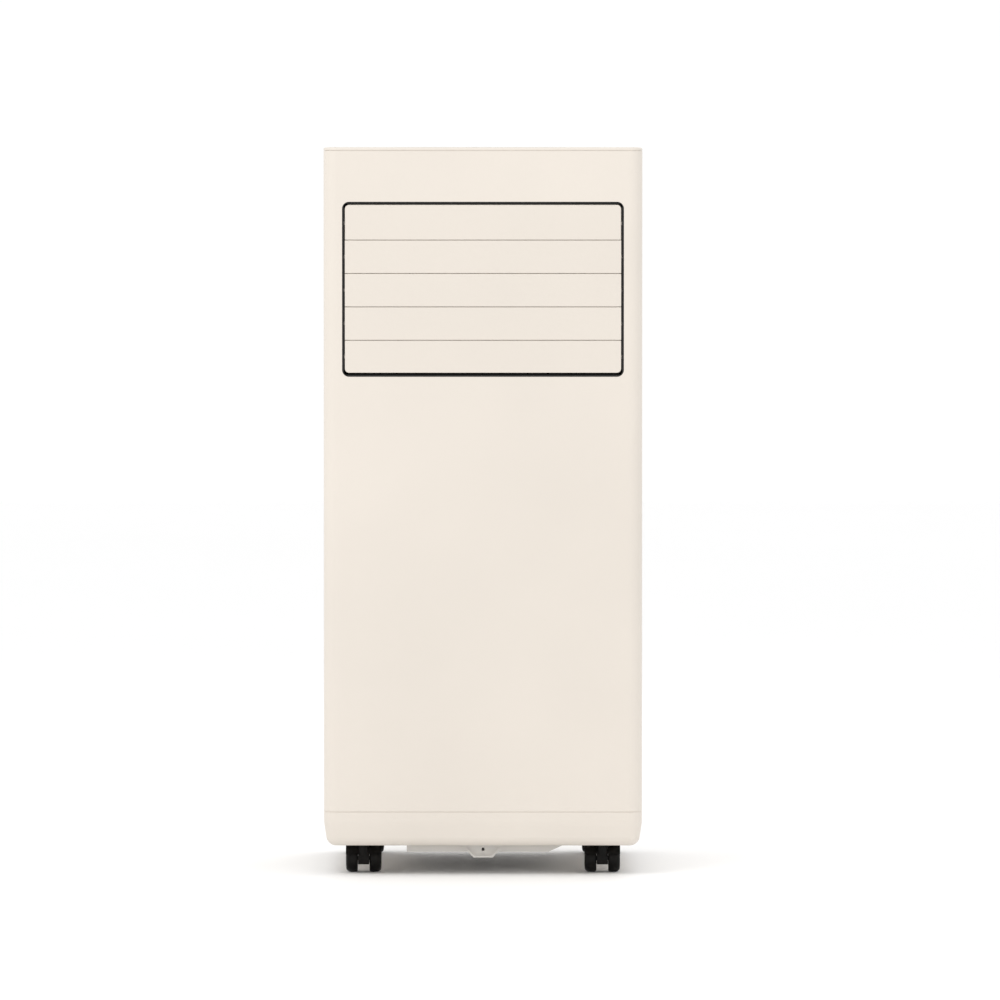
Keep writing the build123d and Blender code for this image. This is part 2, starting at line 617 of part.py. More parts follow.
def refrigerant_pipes():
    """Discharge pipe to the condenser and suction pipe from the evaporator."""
    rise_z = 224.0
    right, left = PIPE_LANE_X, -PIPE_LANE_X
    middle_x, middle_y = COMPRESSOR_X, COMPRESSOR_Y
    discharge = tube([(middle_x, middle_y, COMPRESSOR_TOP_Z), (middle_x, middle_y, rise_z),
                      (right, middle_y, rise_z), (right, PIPE_LANE_Y, rise_z),
                      (114, PIPE_LANE_Y, rise_z)], 4, 9)
    low_y = middle_y - 2
    suction = tube([(ACCUMULATOR_X, low_y, 190), (ACCUMULATOR_X, low_y, rise_z),
                    (left, low_y, rise_z), (left, PIPE_LANE_Y, rise_z),
                    (left, PIPE_LANE_Y, 425), (-114, PIPE_LANE_Y, 425)], 4, 9)
    return discharge + suction


def control_box():
    """Hollow electrical box that stands between the scroll and the left wall."""
    box = block((-145, -127), (-70, 50), (420, 560))
    return box - block((-143.4, -128.6), (-68.4, 48.4), (421.6, 558.4))


def run_capacitor():
    """Capacitor can in a bracket on the left wall."""
    can = fillet(rod_z(-120, 10, 18, (250, 326)).edges().filter_by(GeomType.CIRCLE), 2)
    return can + block((-INNER_X, -134), (2, 18), (272, 304))


# ---- write every piece ----
save(base_pan(), "base_pan")
save(sump_tray(), "sump_tray")
save(front_panel(), "front_panel")
save(side_panel(-1), "left_panel")
save(side_panel(1), "right_panel")
save(back_panel(), "back_panel")
save(screws(), "screws")
save(top_cover(), "top_cover")
save(control_panel(), "control_panel")
save(display_window(), "display_window")
save(control_board(), "control_board")
for index, name in enumerate(BUTTON_NAMES):
    save(button(index), f"button_{name}")

save(louver_frame(), "louver_frame")
save(louver_link(), "louver_link")
save(vane_link(), "vane_link")
for index in range(SLAT_COUNT):
    save(slat(index), f"louver_{index + 1}")
for index in range(VANE_COUNT):
    save(vane(index), f"vane_{index + 1}")

save(grille(UPPER_GRILLE), "upper_grille")
save(dust_filter(UPPER_GRILLE), "upper_filter")
save(grille(LOWER_GRILLE), "lower_grille")
save(dust_filter(LOWER_GRILLE), "lower_filter")
save(exhaust_collar(), "exhaust_collar")
save(cord_gland(), "cord_gland")
for name, (x, z) in DRAIN_PLACES.items():
    save(drain_plug(x, z), f"drain_plug_{name}")

for side_name, x in (("left", -CASTER_X), ("right", CASTER_X)):
    for end_name, y in (("front", -CASTER_Y), ("rear", CASTER_Y)):
        save(caster_hood(x, y), f"caster_hood_{end_name}_{side_name}")
        save(caster_wheels(x, y), f"caster_wheels_{end_name}_{side_name}")

save(partition_deck(), "partition_deck")
save(coil((DECK_Z + 3, 651), (104, 132)), "evaporator_coil")
save(coil((78, 236), (104, 132)), "condenser_coil")
save(blower_scroll(), "blower_scroll")
save(evaporator_blower(), "evaporator_blower")
save(blower_motor(), "blower_motor")
save(condenser_scroll(), "condenser_scroll")
save(condenser_fan(), "condenser_fan")
save(condenser_motor(), "condenser_motor")
save(compressor(), "compressor")
save(compressor_feet(), "compressor_feet")
save(accumulator(), "accumulator")
save(refrigerant_pipes(), "refrigerant_pipes")
save(control_box(), "control_box")
save(run_capacitor(), "run_capacitor")
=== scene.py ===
"""Portable air conditioner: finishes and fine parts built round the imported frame."""
import json
import math

import bmesh
import bpy
from bpy.props import FloatProperty, FloatVectorProperty, IntProperty, PointerProperty
from mathutils import Matrix, Vector


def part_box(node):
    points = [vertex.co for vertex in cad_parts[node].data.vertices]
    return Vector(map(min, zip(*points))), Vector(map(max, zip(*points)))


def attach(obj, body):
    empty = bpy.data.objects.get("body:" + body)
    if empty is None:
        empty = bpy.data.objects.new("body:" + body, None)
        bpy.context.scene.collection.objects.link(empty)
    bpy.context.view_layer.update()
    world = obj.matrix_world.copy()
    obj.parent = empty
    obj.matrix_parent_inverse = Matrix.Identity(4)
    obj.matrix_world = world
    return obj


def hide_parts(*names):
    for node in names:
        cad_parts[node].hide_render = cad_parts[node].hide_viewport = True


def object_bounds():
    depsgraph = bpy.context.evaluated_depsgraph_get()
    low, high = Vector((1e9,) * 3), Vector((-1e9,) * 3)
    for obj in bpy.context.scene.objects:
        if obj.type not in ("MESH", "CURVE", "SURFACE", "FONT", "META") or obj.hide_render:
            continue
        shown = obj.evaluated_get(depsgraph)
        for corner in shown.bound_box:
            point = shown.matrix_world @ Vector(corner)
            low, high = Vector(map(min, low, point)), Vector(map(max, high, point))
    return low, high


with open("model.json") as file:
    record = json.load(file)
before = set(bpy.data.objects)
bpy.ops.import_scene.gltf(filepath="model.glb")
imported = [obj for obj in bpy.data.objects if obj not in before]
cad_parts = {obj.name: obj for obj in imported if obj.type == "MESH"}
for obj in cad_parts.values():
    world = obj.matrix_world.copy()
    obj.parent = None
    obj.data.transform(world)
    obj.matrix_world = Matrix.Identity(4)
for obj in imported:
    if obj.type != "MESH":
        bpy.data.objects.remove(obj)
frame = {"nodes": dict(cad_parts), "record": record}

bl_info = {
    "name": "Portable Air Conditioner",
    "version": (1, 0, 0),
    "blender": (4, 5, 0),
    "location": "View3D > Sidebar > Air Conditioner",
    "description": "Builds the finished parts of a slim portable air conditioner",
    "category": "Add Mesh",
}

CAD_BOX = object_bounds()
LOW, HIGH = (Vector(corner) for corner in CAD_BOX)
MAX_WIDTH = HIGH.x - LOW.x

# Buttons: depth of the dish in a cap, height of a raised symbol.
BUTTON_NODES = ("button_power", "button_mode", "button_cooler", "button_warmer", "button_fan_speed")
DISH = 0.00035
SYMBOL_HEIGHT = 0.00012
# Seams: open height under the lid, depth of a tongue, corner radius of the cabinet.
SEAM_GAP = 0.0005
TONGUE = 0.0012
CABINET_CORNER = 0.012
# Return bends of the coils: tube radius and distance of a tube row from the coil's face.
TUBE_RADIUS = 0.0035
TUBE_INSET = 0.009
# How many cabinet widths the view spans, and how far the cabinet sits off its middle.
FRAME_IN_WIDTHS = 3.134
CAMERA_SHIFT = (0.017, 0.0123)


def place(node):
    """Lowest and highest corners of a frame node, as vectors."""
    return tuple(Vector(corner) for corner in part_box(node))


# ---------------------------------------------------------------- settings

class AirConSizes(bpy.types.PropertyGroup):
    corner_segments: IntProperty(
        name="Corner segments", description="Facets round each upright cabinet corner",
        default=10, min=4)
    fin_pitch: FloatProperty(
        name="Fin pitch", description="Distance between the fins of the coils",
        default=0.0022, min=0.001, unit="LENGTH")
    thread_pitch: FloatProperty(
        name="Screen pitch", description="Distance between the threads of the dust filters",
        default=0.0024, min=0.001, unit="LENGTH")
    camera_distance: FloatProperty(
        name="Camera distance", description="From the middle of the cabinet to the camera",
        default=9.0, min=0.5, unit="LENGTH")
    camera_height: FloatProperty(
        name="Camera height", description="Height of the camera above the floor",
        default=0.70, min=0.1, unit="LENGTH")


def colour_setting(label, about, value):
    return FloatVectorProperty(
        name=label, description=about, default=value, size=3, min=0.0, max=1.0, subtype="COLOR")


class AirConColours(bpy.types.PropertyGroup):
    cabinet: colour_setting("Cabinet", "Warm white of the covers", (0.71, 0.655, 0.59))
    slats: colour_setting("Slats", "Warm white of the louver slats", (0.70, 0.645, 0.58))
    tray: colour_setting("Tray", "Grey of the condensate tray", (0.56, 0.54, 0.50))
    black: colour_setting("Black", "Black of the duct and casters", (0.006, 0.0055, 0.005))
    dark_grey: colour_setting("Dark grey", "Grey of the inner mouldings", (0.10, 0.10, 0.105))
    glow: colour_setting("Display", "Colour of the lit figures", (0.35, 0.85, 1.0))


# ---------------------------------------------------------------- node materials

class Nodes:
    """Short way to add and join shader nodes."""

    def __init__(self, name):
        self.material = bpy.data.materials.new(name)
        self.material.use_nodes = True
        self.tree = self.material.node_tree
        self.shader = self.tree.nodes["Principled BSDF"]
        self.coords = self.add("ShaderNodeTexCoord").outputs["Object"]

    def add(self, kind, **values):
        node = self.tree.nodes.new(kind)
        for key, value in values.items():
            setattr(node, key, value)
        return node

    def join(self, source, target):
        self.tree.links.new(source, target)

    def mapped(self, scale=(1, 1, 1), rotation=(0, 0, 0)):
        mapping = self.add("ShaderNodeMapping")
        mapping.inputs["Scale"].default_value = scale
        mapping.inputs["Rotation"].default_value = rotation
        self.join(self.coords, mapping.inputs["Vector"])
        return mapping.outputs["Vector"]

    def noise(self, scale, detail=3.0, vector=None, rough=0.5):
        node = self.add("ShaderNodeTexNoise")
        node.inputs["Scale"].default_value = scale
        node.inputs["Detail"].default_value = detail
        node.inputs["Roughness"].default_value = rough
        self.join(vector or self.coords, node.inputs["Vector"])
        return node.outputs["Fac"]

    def ramp(self, source, low, high, positions=(0.35, 0.65)):
        node = self.add("ShaderNodeValToRGB")
        for element, position, colour in zip(node.color_ramp.elements, positions, (low, high)):
            element.position = position
            element.color = (*colour, 1.0)
        self.join(source, node.inputs["Fac"])
        return node.outputs["Color"]

    def span(self, source, low, high):
        node = self.add("ShaderNodeMapRange")
        node.inputs["From Min"].default_value = 0.3
        node.inputs["From Max"].default_value = 0.7
        node.inputs["To Min"].default_value = low
        node.inputs["To Max"].default_value = high
        self.join(source, node.inputs["Value"])
        return node.outputs["Result"]

    def bump(self, *layers):
        """Stack bump layers, each (height output, strength, distance in metres)."""
        normal = None
        for height, strength, distance in layers:
            node = self.add("ShaderNodeBump")
            node.inputs["Strength"].default_value = strength
            node.inputs["Distance"].default_value = distance
            self.join(height, node.inputs["Height"])
            if normal:
                self.join(normal, node.inputs["Normal"])
            normal = node.outputs["Normal"]
        self.join(normal, self.shader.inputs["Normal"])

    def set(self, **values):
        for key, value in values.items():
            self.shader.inputs[key.replace("_", " ")].default_value = value


def shade(colour, factor):
    return tuple(min(1.0, channel * factor) for channel in colour)


def moulded_plastic(name, colour, rough=0.42, grain=1.0, wear=0.02):
    """Injection-moulded plastic: spark-eroded grain, slow colour drift and handling marks."""
    m = Nodes(name)
    drift = m.noise(5.0, 2.0)
    m.join(m.ramp(drift, shade(colour, 1.0 - wear), shade(colour, 1.0 + wear)), m.shader.inputs["Base Color"])
    smears = m.noise(38.0, 4.0, m.mapped((1.0, 1.0, 0.35)))
    m.join(m.span(smears, rough - 0.05, rough + 0.06), m.shader.inputs["Roughness"])
    m.bump((m.noise(2600.0, 2.0), 0.10 * grain, 0.00006), (m.noise(900.0, 2.0), 0.06 * grain, 0.00008))
    m.set(IOR=1.5, Specular_IOR_Level=0.42)
    return m.material


def nylon(name, colour, rough=0.38):
    """Black nylon of wheels and hoods: fine grain, scuffs that dull it in patches."""
    m = Nodes(name)
    scuff = m.noise(120.0, 5.0)
    m.join(m.ramp(scuff, colour, shade(colour, 2.4), (0.55, 0.85)), m.shader.inputs["Base Color"])
    m.join(m.span(m.noise(60.0, 4.0), rough - 0.08, rough + 0.15), m.shader.inputs["Roughness"])
    m.bump((m.noise(1900.0, 2.0), 0.16, 0.00008))
    m.set(Specular_IOR_Level=0.12)
    return m.material


def rubber(name, colour):
    m = Nodes(name)
    bloom = m.noise(90.0, 5.0)
    m.join(m.ramp(bloom, colour, shade(colour, 1.8), (0.4, 0.8)), m.shader.inputs["Base Color"])
    m.join(m.span(m.noise(200.0), 0.62, 0.82), m.shader.inputs["Roughness"])
    m.bump((m.noise(1400.0, 3.0), 0.25, 0.0001))
    m.set(Specular_IOR_Level=0.3)
    return m.material


def metal(name, colour, rough, stretch=(1, 1, 1), scratch=0.15):
    """Bare metal with a drawn or brushed grain along its long way."""
    m = Nodes(name)
    grain = m.noise(700.0, 3.0, m.mapped(stretch))
    m.join(m.ramp(grain, shade(colour, 0.86), shade(colour, 1.08)), m.shader.inputs["Base Color"])
    m.join(m.span(m.noise(50.0, 4.0), rough - 0.08, rough + 0.1), m.shader.inputs["Roughness"])
    m.bump((grain, scratch, 0.00005))
    m.set(Metallic=1.0)
    return m.material


def copper(name):
    """Drawn copper with darker heat tint and a little tarnish."""
    m = Nodes(name)
    tint = m.noise(24.0, 4.0)
    m.join(m.ramp(tint, (0.42, 0.16, 0.08), (0.83, 0.42, 0.26)), m.shader.inputs["Base Color"])
    m.join(m.span(m.noise(160.0, 4.0), 0.22, 0.44), m.shader.inputs["Roughness"])
    m.bump((m.noise(900.0, 2.0), 0.08, 0.00005))
    m.set(Metallic=1.0)
    return m.material


def enamel(name, colour):
    """Sprayed black enamel with a faint orange peel."""
    m = Nodes(name)
    m.join(m.ramp(m.noise(14.0, 3.0), colour, shade(colour, 1.6)), m.shader.inputs["Base Color"])
    m.join(m.span(m.noise(80.0, 3.0), 0.20, 0.36), m.shader.inputs["Roughness"])
    m.bump((m.noise(420.0, 2.0), 0.12, 0.0001))
    m.set(Coat_Weight=0.3, Coat_Roughness=0.12)
    return m.material


def overlay(name, colour):
    """Gloss printed overlay: smooth, with fine dust and hairlines."""
    m = Nodes(name)
    m.join(m.ramp(m.noise(30.0, 2.0), colour, shade(colour, 1.3)), m.shader.inputs["Base Color"])
    m.join(m.span(m.noise(1500.0, 5.0), 0.09, 0.2), m.shader.inputs["Roughness"])
    m.bump((m.noise(240.0, 2.0), 0.02, 0.00005))
    m.set(Specular_IOR_Level=0.22, Coat_Weight=0.12, Coat_Roughness=0.06)
    return m.material


def smoked_lens(name):
    m = Nodes(name)
    m.join(m.ramp(m.noise(20.0), (0.010, 0.011, 0.013), (0.016, 0.017, 0.02)), m.shader.inputs["Base Color"])
    m.join(m.span(m.noise(900.0, 4.0), 0.04, 0.10), m.shader.inputs["Roughness"])
    m.bump((m.noise(160.0, 2.0), 0.01, 0.00005))
    m.set(IOR=1.52, Specular_IOR_Level=0.3, Coat_Weight=0.2, Coat_Roughness=0.04)
    return m.material


def lit_figure(name, colour):
    """Lit segment: a soft core that fades a little along its length."""
    m = Nodes(name)
    glow = m.ramp(m.noise(300.0, 2.0), shade(colour, 0.75), colour)
    m.join(glow, m.shader.inputs["Base Color"])
    m.join(glow, m.shader.inputs["Emission Color"])
    m.join(m.span(m.noise(500.0), 0.3, 0.45), m.shader.inputs["Roughness"])
    m.set(Emission_Strength=1.2)
    return m.material


def printed_ink(name, colour):
    m = Nodes(name)
    m.join(m.ramp(m.noise(900.0, 3.0), shade(colour, 0.88), colour), m.shader.inputs["Base Color"])
    m.join(m.span(m.noise(700.0), 0.45, 0.62), m.shader.inputs["Roughness"])
    m.bump((m.noise(2400.0), 0.1, 0.00004))
    return m.material


def fins(name, pitch):
    """Aluminium fin stock, crimped at the fin pitch; the dark bands at the same pitch are painted shade
    between the fins.
    """
    m = Nodes(name)
    wave = m.add("ShaderNodeTexWave", wave_type="BANDS", bands_direction="X")
    wave.inputs["Scale"].default_value = 0.314 / pitch
    wave.inputs["Distortion"].default_value = 0.15
    m.join(m.coords, wave.inputs["Vector"])
    # Painted shade: the dark end of this ramp stands for the shade in the gaps between the fins, the light
    # end for the lit fin edges.
    tone = m.ramp(wave.outputs["Fac"], (0.22, 0.23, 0.24), (0.78, 0.79, 0.81), (0.2, 0.6))
    m.join(tone, m.shader.inputs["Base Color"])
    m.join(m.span(m.noise(120.0, 4.0), 0.28, 0.5), m.shader.inputs["Roughness"])
    m.bump((wave.outputs["Fac"], 0.5, 0.0006), (m.noise(600.0), 0.1, 0.0001))
    m.set(Metallic=0.9)
    return m.material


def laminate(name):
    """Green circuit laminate with lighter copper tracks under the mask."""
    m = Nodes(name)
    bricks = m.add("ShaderNodeTexBrick")
    bricks.inputs["Scale"].default_value = 90.0
    bricks.inputs["Mortar Size"].default_value = 0.03
    bricks.inputs["Color1"].default_value = (0.012, 0.10, 0.035, 1.0)
    bricks.inputs["Color2"].default_value = (0.016, 0.13, 0.05, 1.0)
    bricks.inputs["Mortar"].default_value = (0.05, 0.28, 0.10, 1.0)
    m.join(m.coords, bricks.inputs["Vector"])
    m.join(bricks.outputs["Color"], m.shader.inputs["Base Color"])
    m.join(m.span(m.noise(300.0), 0.28, 0.42), m.shader.inputs["Roughness"])
    m.bump((bricks.outputs["Fac"], 0.2, 0.0001))
    return m.material


def woven_screen(name, colour):
    """Nylon thread: slightly glossy, with a twist along it."""
    m = Nodes(name)
    m.join(m.ramp(m.noise(800.0, 3.0), shade(colour, 0.7), shade(colour, 1.5)), m.shader.inputs["Base Color"])
    m.join(m.span(m.noise(500.0), 0.4, 0.6), m.shader.inputs["Roughness"])
    m.bump((m.noise(2500.0), 0.2, 0.00005))
    m.set(Sheen_Weight=0.15)
    return m.material


def floor_finish(name):
    """Near-white studio floor that meets the backdrop without a line."""
    m = Nodes(name)
    tone = m.ramp(m.noise(0.8, 2.0), (0.975, 0.975, 0.975), (0.98, 0.98, 0.98))
    m.join(tone, m.shader.inputs["Base Color"])
    m.join(m.span(m.noise(3.0), 0.55, 0.62), m.shader.inputs["Roughness"])
    return m.material


# ---------------------------------------------------------------- mesh helpers

def colours():
    return bpy.context.scene.air_con_colours


def sizes():
    return bpy.context.scene.air_con_sizes


def finish_of(name, maker, *values):
    """One shared material by name, made the first time it is asked for."""
    return bpy.data.materials.get(name) or maker(name, *values)


def cover_plastic():
    return finish_of("cover_plastic", moulded_plastic, tuple(colours().cabinet))


def black_plastic():
    return finish_of("black_plastic", moulded_plastic, tuple(colours().black), 0.5, 0.8, 0.15)


def grey_plastic():
    return finish_of("grey_plastic", moulded_plastic, tuple(colours().dark_grey), 0.45, 1.0, 0.06)


def soft_button():
    return finish_of("button_soft", moulded_plastic, (0.045, 0.045, 0.048), 0.55, 0.7, 0.05)


def steel():
    return finish_of("zinc_steel", metal, (0.60, 0.60, 0.62), 0.32, (1, 1, 6), 0.2)


def to_object(bm, name, material, body, replaces=(), smooth_angle=32.0):
    """Make a bmesh into a finished piece that rides on a body."""
    bmesh.ops.remove_doubles(bm, verts=bm.verts, dist=0.000002)
    mesh = bpy.data.meshes.new(name)
    bm.to_mesh(mesh)
    bm.free()
    mesh.shade_smooth()
    mesh.set_sharp_from_angle(angle=math.radians(smooth_angle))
    piece = bpy.data.objects.new(name, mesh)
    bpy.context.scene.collection.objects.link(piece)
    mesh.materials.append(material)
    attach(piece, body)
    if replaces:
        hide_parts(*replaces)
    return piece


def rounded_plate(bm, half_x, half_y, radius, height, centre, turn=None, segments=8):
    """Rounded rectangle made solid: bevel the corners of a quad, then extrude it."""
    before = set(bm.faces)
    corners = bmesh.ops.create_grid(bm, x_segments=1, y_segments=1, size=1.0)["verts"]
    bmesh.ops.scale(bm, vec=(half_x, half_y, 1.0), verts=corners)
    bmesh.ops.bevel(bm, geom=corners, offset=radius, offset_type="OFFSET", segments=segments,
                    profile=0.5, affect="VERTICES", material=-1)
    face = next(face for face in bm.faces if face not in before)
    verts = set(face.verts)
    extruded = bmesh.ops.extrude_face_region(bm, geom=[face], use_keep_orig=True)
    top = [item for item in extruded["geom"] if isinstance(item, bmesh.types.BMVert)]
    bmesh.ops.translate(bm, vec=(0, 0, height), verts=top)
    verts.update(top)
    verts = list(verts)
    if turn:
        bmesh.ops.transform(bm, matrix=turn, verts=verts)
    bmesh.ops.translate(bm, vec=centre, verts=verts)
    faces = {face for vert in verts for face in vert.link_faces}
    bmesh.ops.recalc_face_normals(bm, faces=list(faces))
    return verts


def lathe(bm, profile, centre, axis, segments=48):
    """Spin a profile of (radius, distance along the axis) points into a closed solid."""
    axis = Vector(axis).normalized()
    side = axis.orthogonal().normalized()
    verts = [bm.verts.new(Vector(centre) + side * radius + axis * along) for radius, along in profile]
    edges = [bm.edges.new(pair) for pair in zip(verts, verts[1:])]
    made = bmesh.ops.spin(bm, geom=verts + edges, cent=centre, axis=axis, dvec=(0, 0, 0),
                          angle=math.tau, steps=segments, use_merge=True)
    bmesh.ops.remove_doubles(bm, verts=bm.verts, dist=0.000001)
    faces = [face for face in bm.faces]
    bmesh.ops.recalc_face_normals(bm, faces=faces)
    return made


def slab(bm, low, high, bevel=0.0):
    """Small box between two corners with its edges eased."""
    low, high = Vector(low), Vector(high)
    made = bmesh.ops.create_cube(bm, size=1.0)["verts"]
    bmesh.ops.scale(bm, vec=high - low, verts=made)
    bmesh.ops.translate(bm, vec=(low + high) / 2, verts=made)
    if bevel:
        edges = list({edge for vert in made for edge in vert.link_edges})
        bmesh.ops.bevel(bm, geom=edges, offset=bevel, offset_type="OFFSET", segments=2, profile=0.5,
                        affect="EDGES", material=-1)


def wire(name, points, radius, material, body):
    """Round lead or tube on a smooth curve, turned into a mesh."""
    curve = bpy.data.curves.new(name, "CURVE")
    curve.dimensions = "3D"
    curve.bevel_depth = radius
    curve.bevel_resolution = 4
    curve.resolution_u = 6
    curve.use_fill_caps = True
    spline = curve.splines.new("NURBS")
    spline.points.add(len(points) - 1)
    for point, place_at in zip(spline.points, points):
        point.co = (*place_at, 1.0)
    spline.order_u = 3
    spline.use_endpoint_u = True
    holder = bpy.data.objects.new(name + "_curve", curve)
    bpy.context.scene.collection.objects.link(holder)
    mesh = bpy.data.meshes.new_from_object(holder.evaluated_get(bpy.context.evaluated_depsgraph_get()))
    bpy.data.objects.remove(holder)
    bpy.data.curves.remove(curve)
    bm = bmesh.new()
    bm.from_mesh(mesh)
    bpy.data.meshes.remove(mesh)
    return to_object(bm, name, material, body)


# ---------------------------------------------------------------- operators

class AIRCON_OT_covers(bpy.types.Operator):
    """Give the frame's own covers, mouldings and machine parts their finishes"""
    bl_idname = "aircon.covers"
    bl_label = "Finish the frame's parts"

    def execute(self, context):
        tray = finish_of("tray_plastic", moulded_plastic, tuple(colours().tray), 0.5, 1.0, 0.03)
        slat = finish_of("slat_plastic", moulded_plastic, tuple(colours().slats), 0.40, 0.8, 0.012)
        finishes = {
            "body_plastic": cover_plastic(),
            "louver_plastic": slat,
            "tray_plastic": tray,
            "dark_plastic": black_plastic(),
            "filter_mesh": finish_of("screen_nylon", woven_screen, (0.05, 0.05, 0.055)),
            "panel_gloss": finish_of("panel_overlay", overlay, (0.010, 0.010, 0.011)),
            "display_lens": finish_of("smoked_window", smoked_lens),
            "button_plastic": soft_button(),
            "circuit_board": finish_of("board_laminate", laminate),
            "caster_black": finish_of("caster_nylon", nylon, tuple(colours().black)),
            "soft_rubber": finish_of("moulded_rubber", rubber, (0.02, 0.02, 0.02)),
            "screw_steel": steel(),
            "inner_plastic": grey_plastic(),
            "fin_aluminium": finish_of("fin_stock", fins, sizes().fin_pitch),
            "motor_steel": finish_of("motor_shell", metal, (0.52, 0.52, 0.54), 0.36, (6, 6, 1), 0.12),
            "compressor_paint": finish_of("compressor_enamel", enamel, (0.012, 0.012, 0.013)),
            "pipe_copper": finish_of("drawn_copper", copper),
        }
        for row in frame["record"]["subparts"]:
            node = frame["nodes"][row["node"]]
            for slot in node.material_slots:
                slot.material = finishes[row["material_slot"]]
        return {"FINISHED"}


class AIRCON_OT_controls(bpy.types.Operator):
    """Dished push buttons with raised symbols, and the display's lit figures"""
    bl_idname = "aircon.controls"
    bl_label = "Controls"

    def execute(self, context):
        soft = soft_button()
        ink = finish_of("symbol_ink", printed_ink, (0.78, 0.78, 0.76))
        symbols = {
            "button_power": self.power, "button_mode": self.snowflake, "button_cooler": self.minus,
            "button_warmer": self.plus, "button_fan_speed": self.fan,
        }
        for node, symbol in symbols.items():
            low, high = place(node)
            top = Vector(((low.x + high.x) / 2, (low.y + high.y) / 2, high.z))
            self.button(node, top, high.x - low.x, high.z - low.z, soft)
            bm = bmesh.new()
            symbol(bm, top - Vector((0, 0, DISH)))
            to_object(bm, f"{node}_symbol", ink, node)
        self.figures()
        self.lamps(ink)
        return {"FINISHED"}

    def button(self, node, top, width, height, soft):
        flange = width / 2
        cap = flange - 0.0012
        profile = [
            (0, -DISH), (cap * 0.55, -DISH), (cap * 0.78, -DISH * 0.55), (cap * 0.90, -DISH * 0.1),
            (cap * 0.95, 0), (cap * 0.985, -0.0001), (cap, -0.0004), (cap, 0.001 - height),
            (flange, 0.001 - height), (flange, -height), (0, -height),
        ]
        bm = bmesh.new()
        lathe(bm, profile, top, (0, 0, 1), 48)
        to_object(bm, f"{node}_cap", soft, node, [node])

    def bar(self, bm, centre, length, width, turn=0.0):
        rotation = Matrix.Rotation(turn, 4, "Z")
        rounded_plate(bm, length / 2, width / 2, width * 0.45, SYMBOL_HEIGHT, centre, rotation, 4)

    def ring(self, bm, centre, radius, width, gap=0.0):
        turn = math.tau - gap
        start = math.pi / 2 + gap / 2
        quad = [bm.verts.new((centre.x + r * math.cos(start), centre.y + r * math.sin(start), centre.z + h))
                for r, h in ((radius - width / 2, 0), (radius + width / 2, 0),
                             (radius + width / 2, SYMBOL_HEIGHT), (radius - width / 2, SYMBOL_HEIGHT))]
        if gap:
            face = bm.faces.new(quad)
            geom = [face, *face.edges, *quad]
        else:
            edges = [bm.edges.new((quad[index - 1], quad[index])) for index in range(4)]
            geom = [*edges, *quad]
        bmesh.ops.spin(bm, geom=geom, cent=centre, axis=(0, 0, 1), dvec=(0, 0, 0), angle=turn,
                       steps=32, use_merge=not gap)
        bmesh.ops.recalc_face_normals(bm, faces=list(bm.faces))

    def power(self, bm, centre):
        self.ring(bm, centre, 0.0023, 0.0005, math.radians(70))
        self.bar(bm, centre + Vector((0, 0.0019, 0)), 0.0026, 0.0005, math.pi / 2)

    def snowflake(self, bm, centre):
        for number in range(3):
            lift = Vector((0, 0, number * 0.00001))
            self.bar(bm, centre + lift, 0.0054, 0.00045, number * math.pi / 3)
        for number in range(6):
            angle = number * math.pi / 3
            tip = centre + Vector((math.cos(angle), math.sin(angle), 0)) * 0.0018
            for lean in (-1, 1):
                along = angle + lean * math.radians(50)
                offset = Vector((math.cos(along), math.sin(along), 0)) * 0.0005
                self.bar(bm, tip + offset, 0.0011, 0.00035, along)

    def minus(self, bm, centre):
        self.bar(bm, centre, 0.0042, 0.0006)

    def plus(self, bm, centre):
        self.bar(bm, centre, 0.0042, 0.0006)
        self.bar(bm, centre + Vector((0, 0, 0.00001)), 0.0042, 0.0006, math.pi / 2)

    def fan(self, bm, centre):
        for number in range(3):
            angle = number * math.tau / 3 + math.pi / 2
            out = Vector((math.cos(angle), math.sin(angle), 0)) * 0.0016
            rotation = Matrix.Rotation(angle + 0.5, 4, "Z")
            rounded_plate(bm, 0.0013, 0.0007, 0.0006, SYMBOL_HEIGHT, centre + out, rotation, 6)
        rounded_plate(bm, 0.0005, 0.0005, 0.00045, SYMBOL_HEIGHT, centre, None, 8)

    def figures(self):
        """Two seven-segment figures and a degree ring on the window."""
        low, high = place("display_window")
        glow = finish_of("lit_figures", lit_figure, tuple(colours().glow))
        middle = (low + high) / 2
        segment_ends = {"top": (0, 1), "middle": (0, 0), "bottom": (0, -1), "upper_left": (-1, 0.5),
                        "upper_right": (1, 0.5), "lower_left": (-1, -0.5), "lower_right": (1, -0.5)}
        lit = {2: ("top", "upper_right", "middle", "lower_left", "bottom"),
               4: ("upper_left", "upper_right", "middle", "lower_right")}
        bm = bmesh.new()
        for figure, offset in ((2, -0.0065), (4, 0.0035)):
            for name in lit[figure]:
                across, up = segment_ends[name]
                centre = Vector((middle.x + offset + across * 0.003, middle.y + up * 0.0056,
                                 high.z - 0.00004))
                self.bar(bm, centre, 0.0050, 0.0009, math.pi / 2 if across else 0.0)
        self.ring(bm, Vector((middle.x + 0.0104, middle.y + 0.0046, high.z - 0.00004)), 0.0014, 0.0005)
        to_object(bm, "display_figures", glow, "cabinet")

    def lamps(self, ink):
        """Indicator dot above each button and a short mark below it."""
        low, high = place("control_panel")
        bm = bmesh.new()
        for number in range(5):
            node_low, node_high = place(BUTTON_NODES[number])
            x = (node_low.x + node_high.x) / 2
            centre = Vector((x, low.y + (high.y - low.y) * 0.80, high.z - 0.00005))
            rounded_plate(bm, 0.0007, 0.0007, 0.00065, SYMBOL_HEIGHT, centre, None, 8)
            self.bar(bm, Vector((x, low.y + (high.y - low.y) * 0.20, high.z - 0.00002)), 0.006, 0.0005)
        to_object(bm, "panel_marks", ink, "cabinet")


